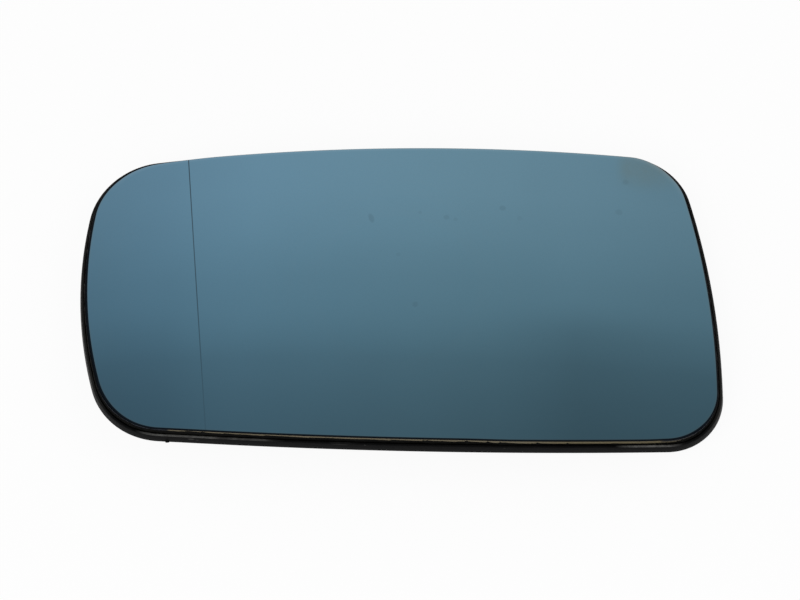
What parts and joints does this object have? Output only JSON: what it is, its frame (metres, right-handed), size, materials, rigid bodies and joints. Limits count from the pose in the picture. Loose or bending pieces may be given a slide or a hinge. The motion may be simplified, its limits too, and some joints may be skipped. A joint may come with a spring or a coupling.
{
  "type": "car door mirror glass",
  "caption": "Convex blue-tinted door mirror glass with a tighter outer zone, bonded over a heating film to a black moulded backing plate with a round clip-on socket.",
  "frame": {"origin": "on the socket's axis, in the plane of the collar's foot, which is the lowest face", "axes": "+Z out of the mirror's face, +X along the width to the inner end near the car, +Y to the top edge"},
  "size_m": [0.1878, 0.099, 0.0156],
  "materials": {
    "coated_glass": "blue coated, polished",
    "amber_film": "smooth",
    "black_adhesive": "matte",
    "black_plastic": "fine texture",
    "spring_wire": "drawn wire",
    "plated_brass": "tin plated"
  },
  "bodies": {
    "root": {"mirror_glass": "coated_glass", "heater_film": "amber_film", "adhesive_sheet": "black_adhesive", "backing_plate": "black_plastic", "snap_ring": "spring_wire", "terminal_left": "plated_brass", "terminal_right": "plated_brass"}
  },
  "joints": []
}
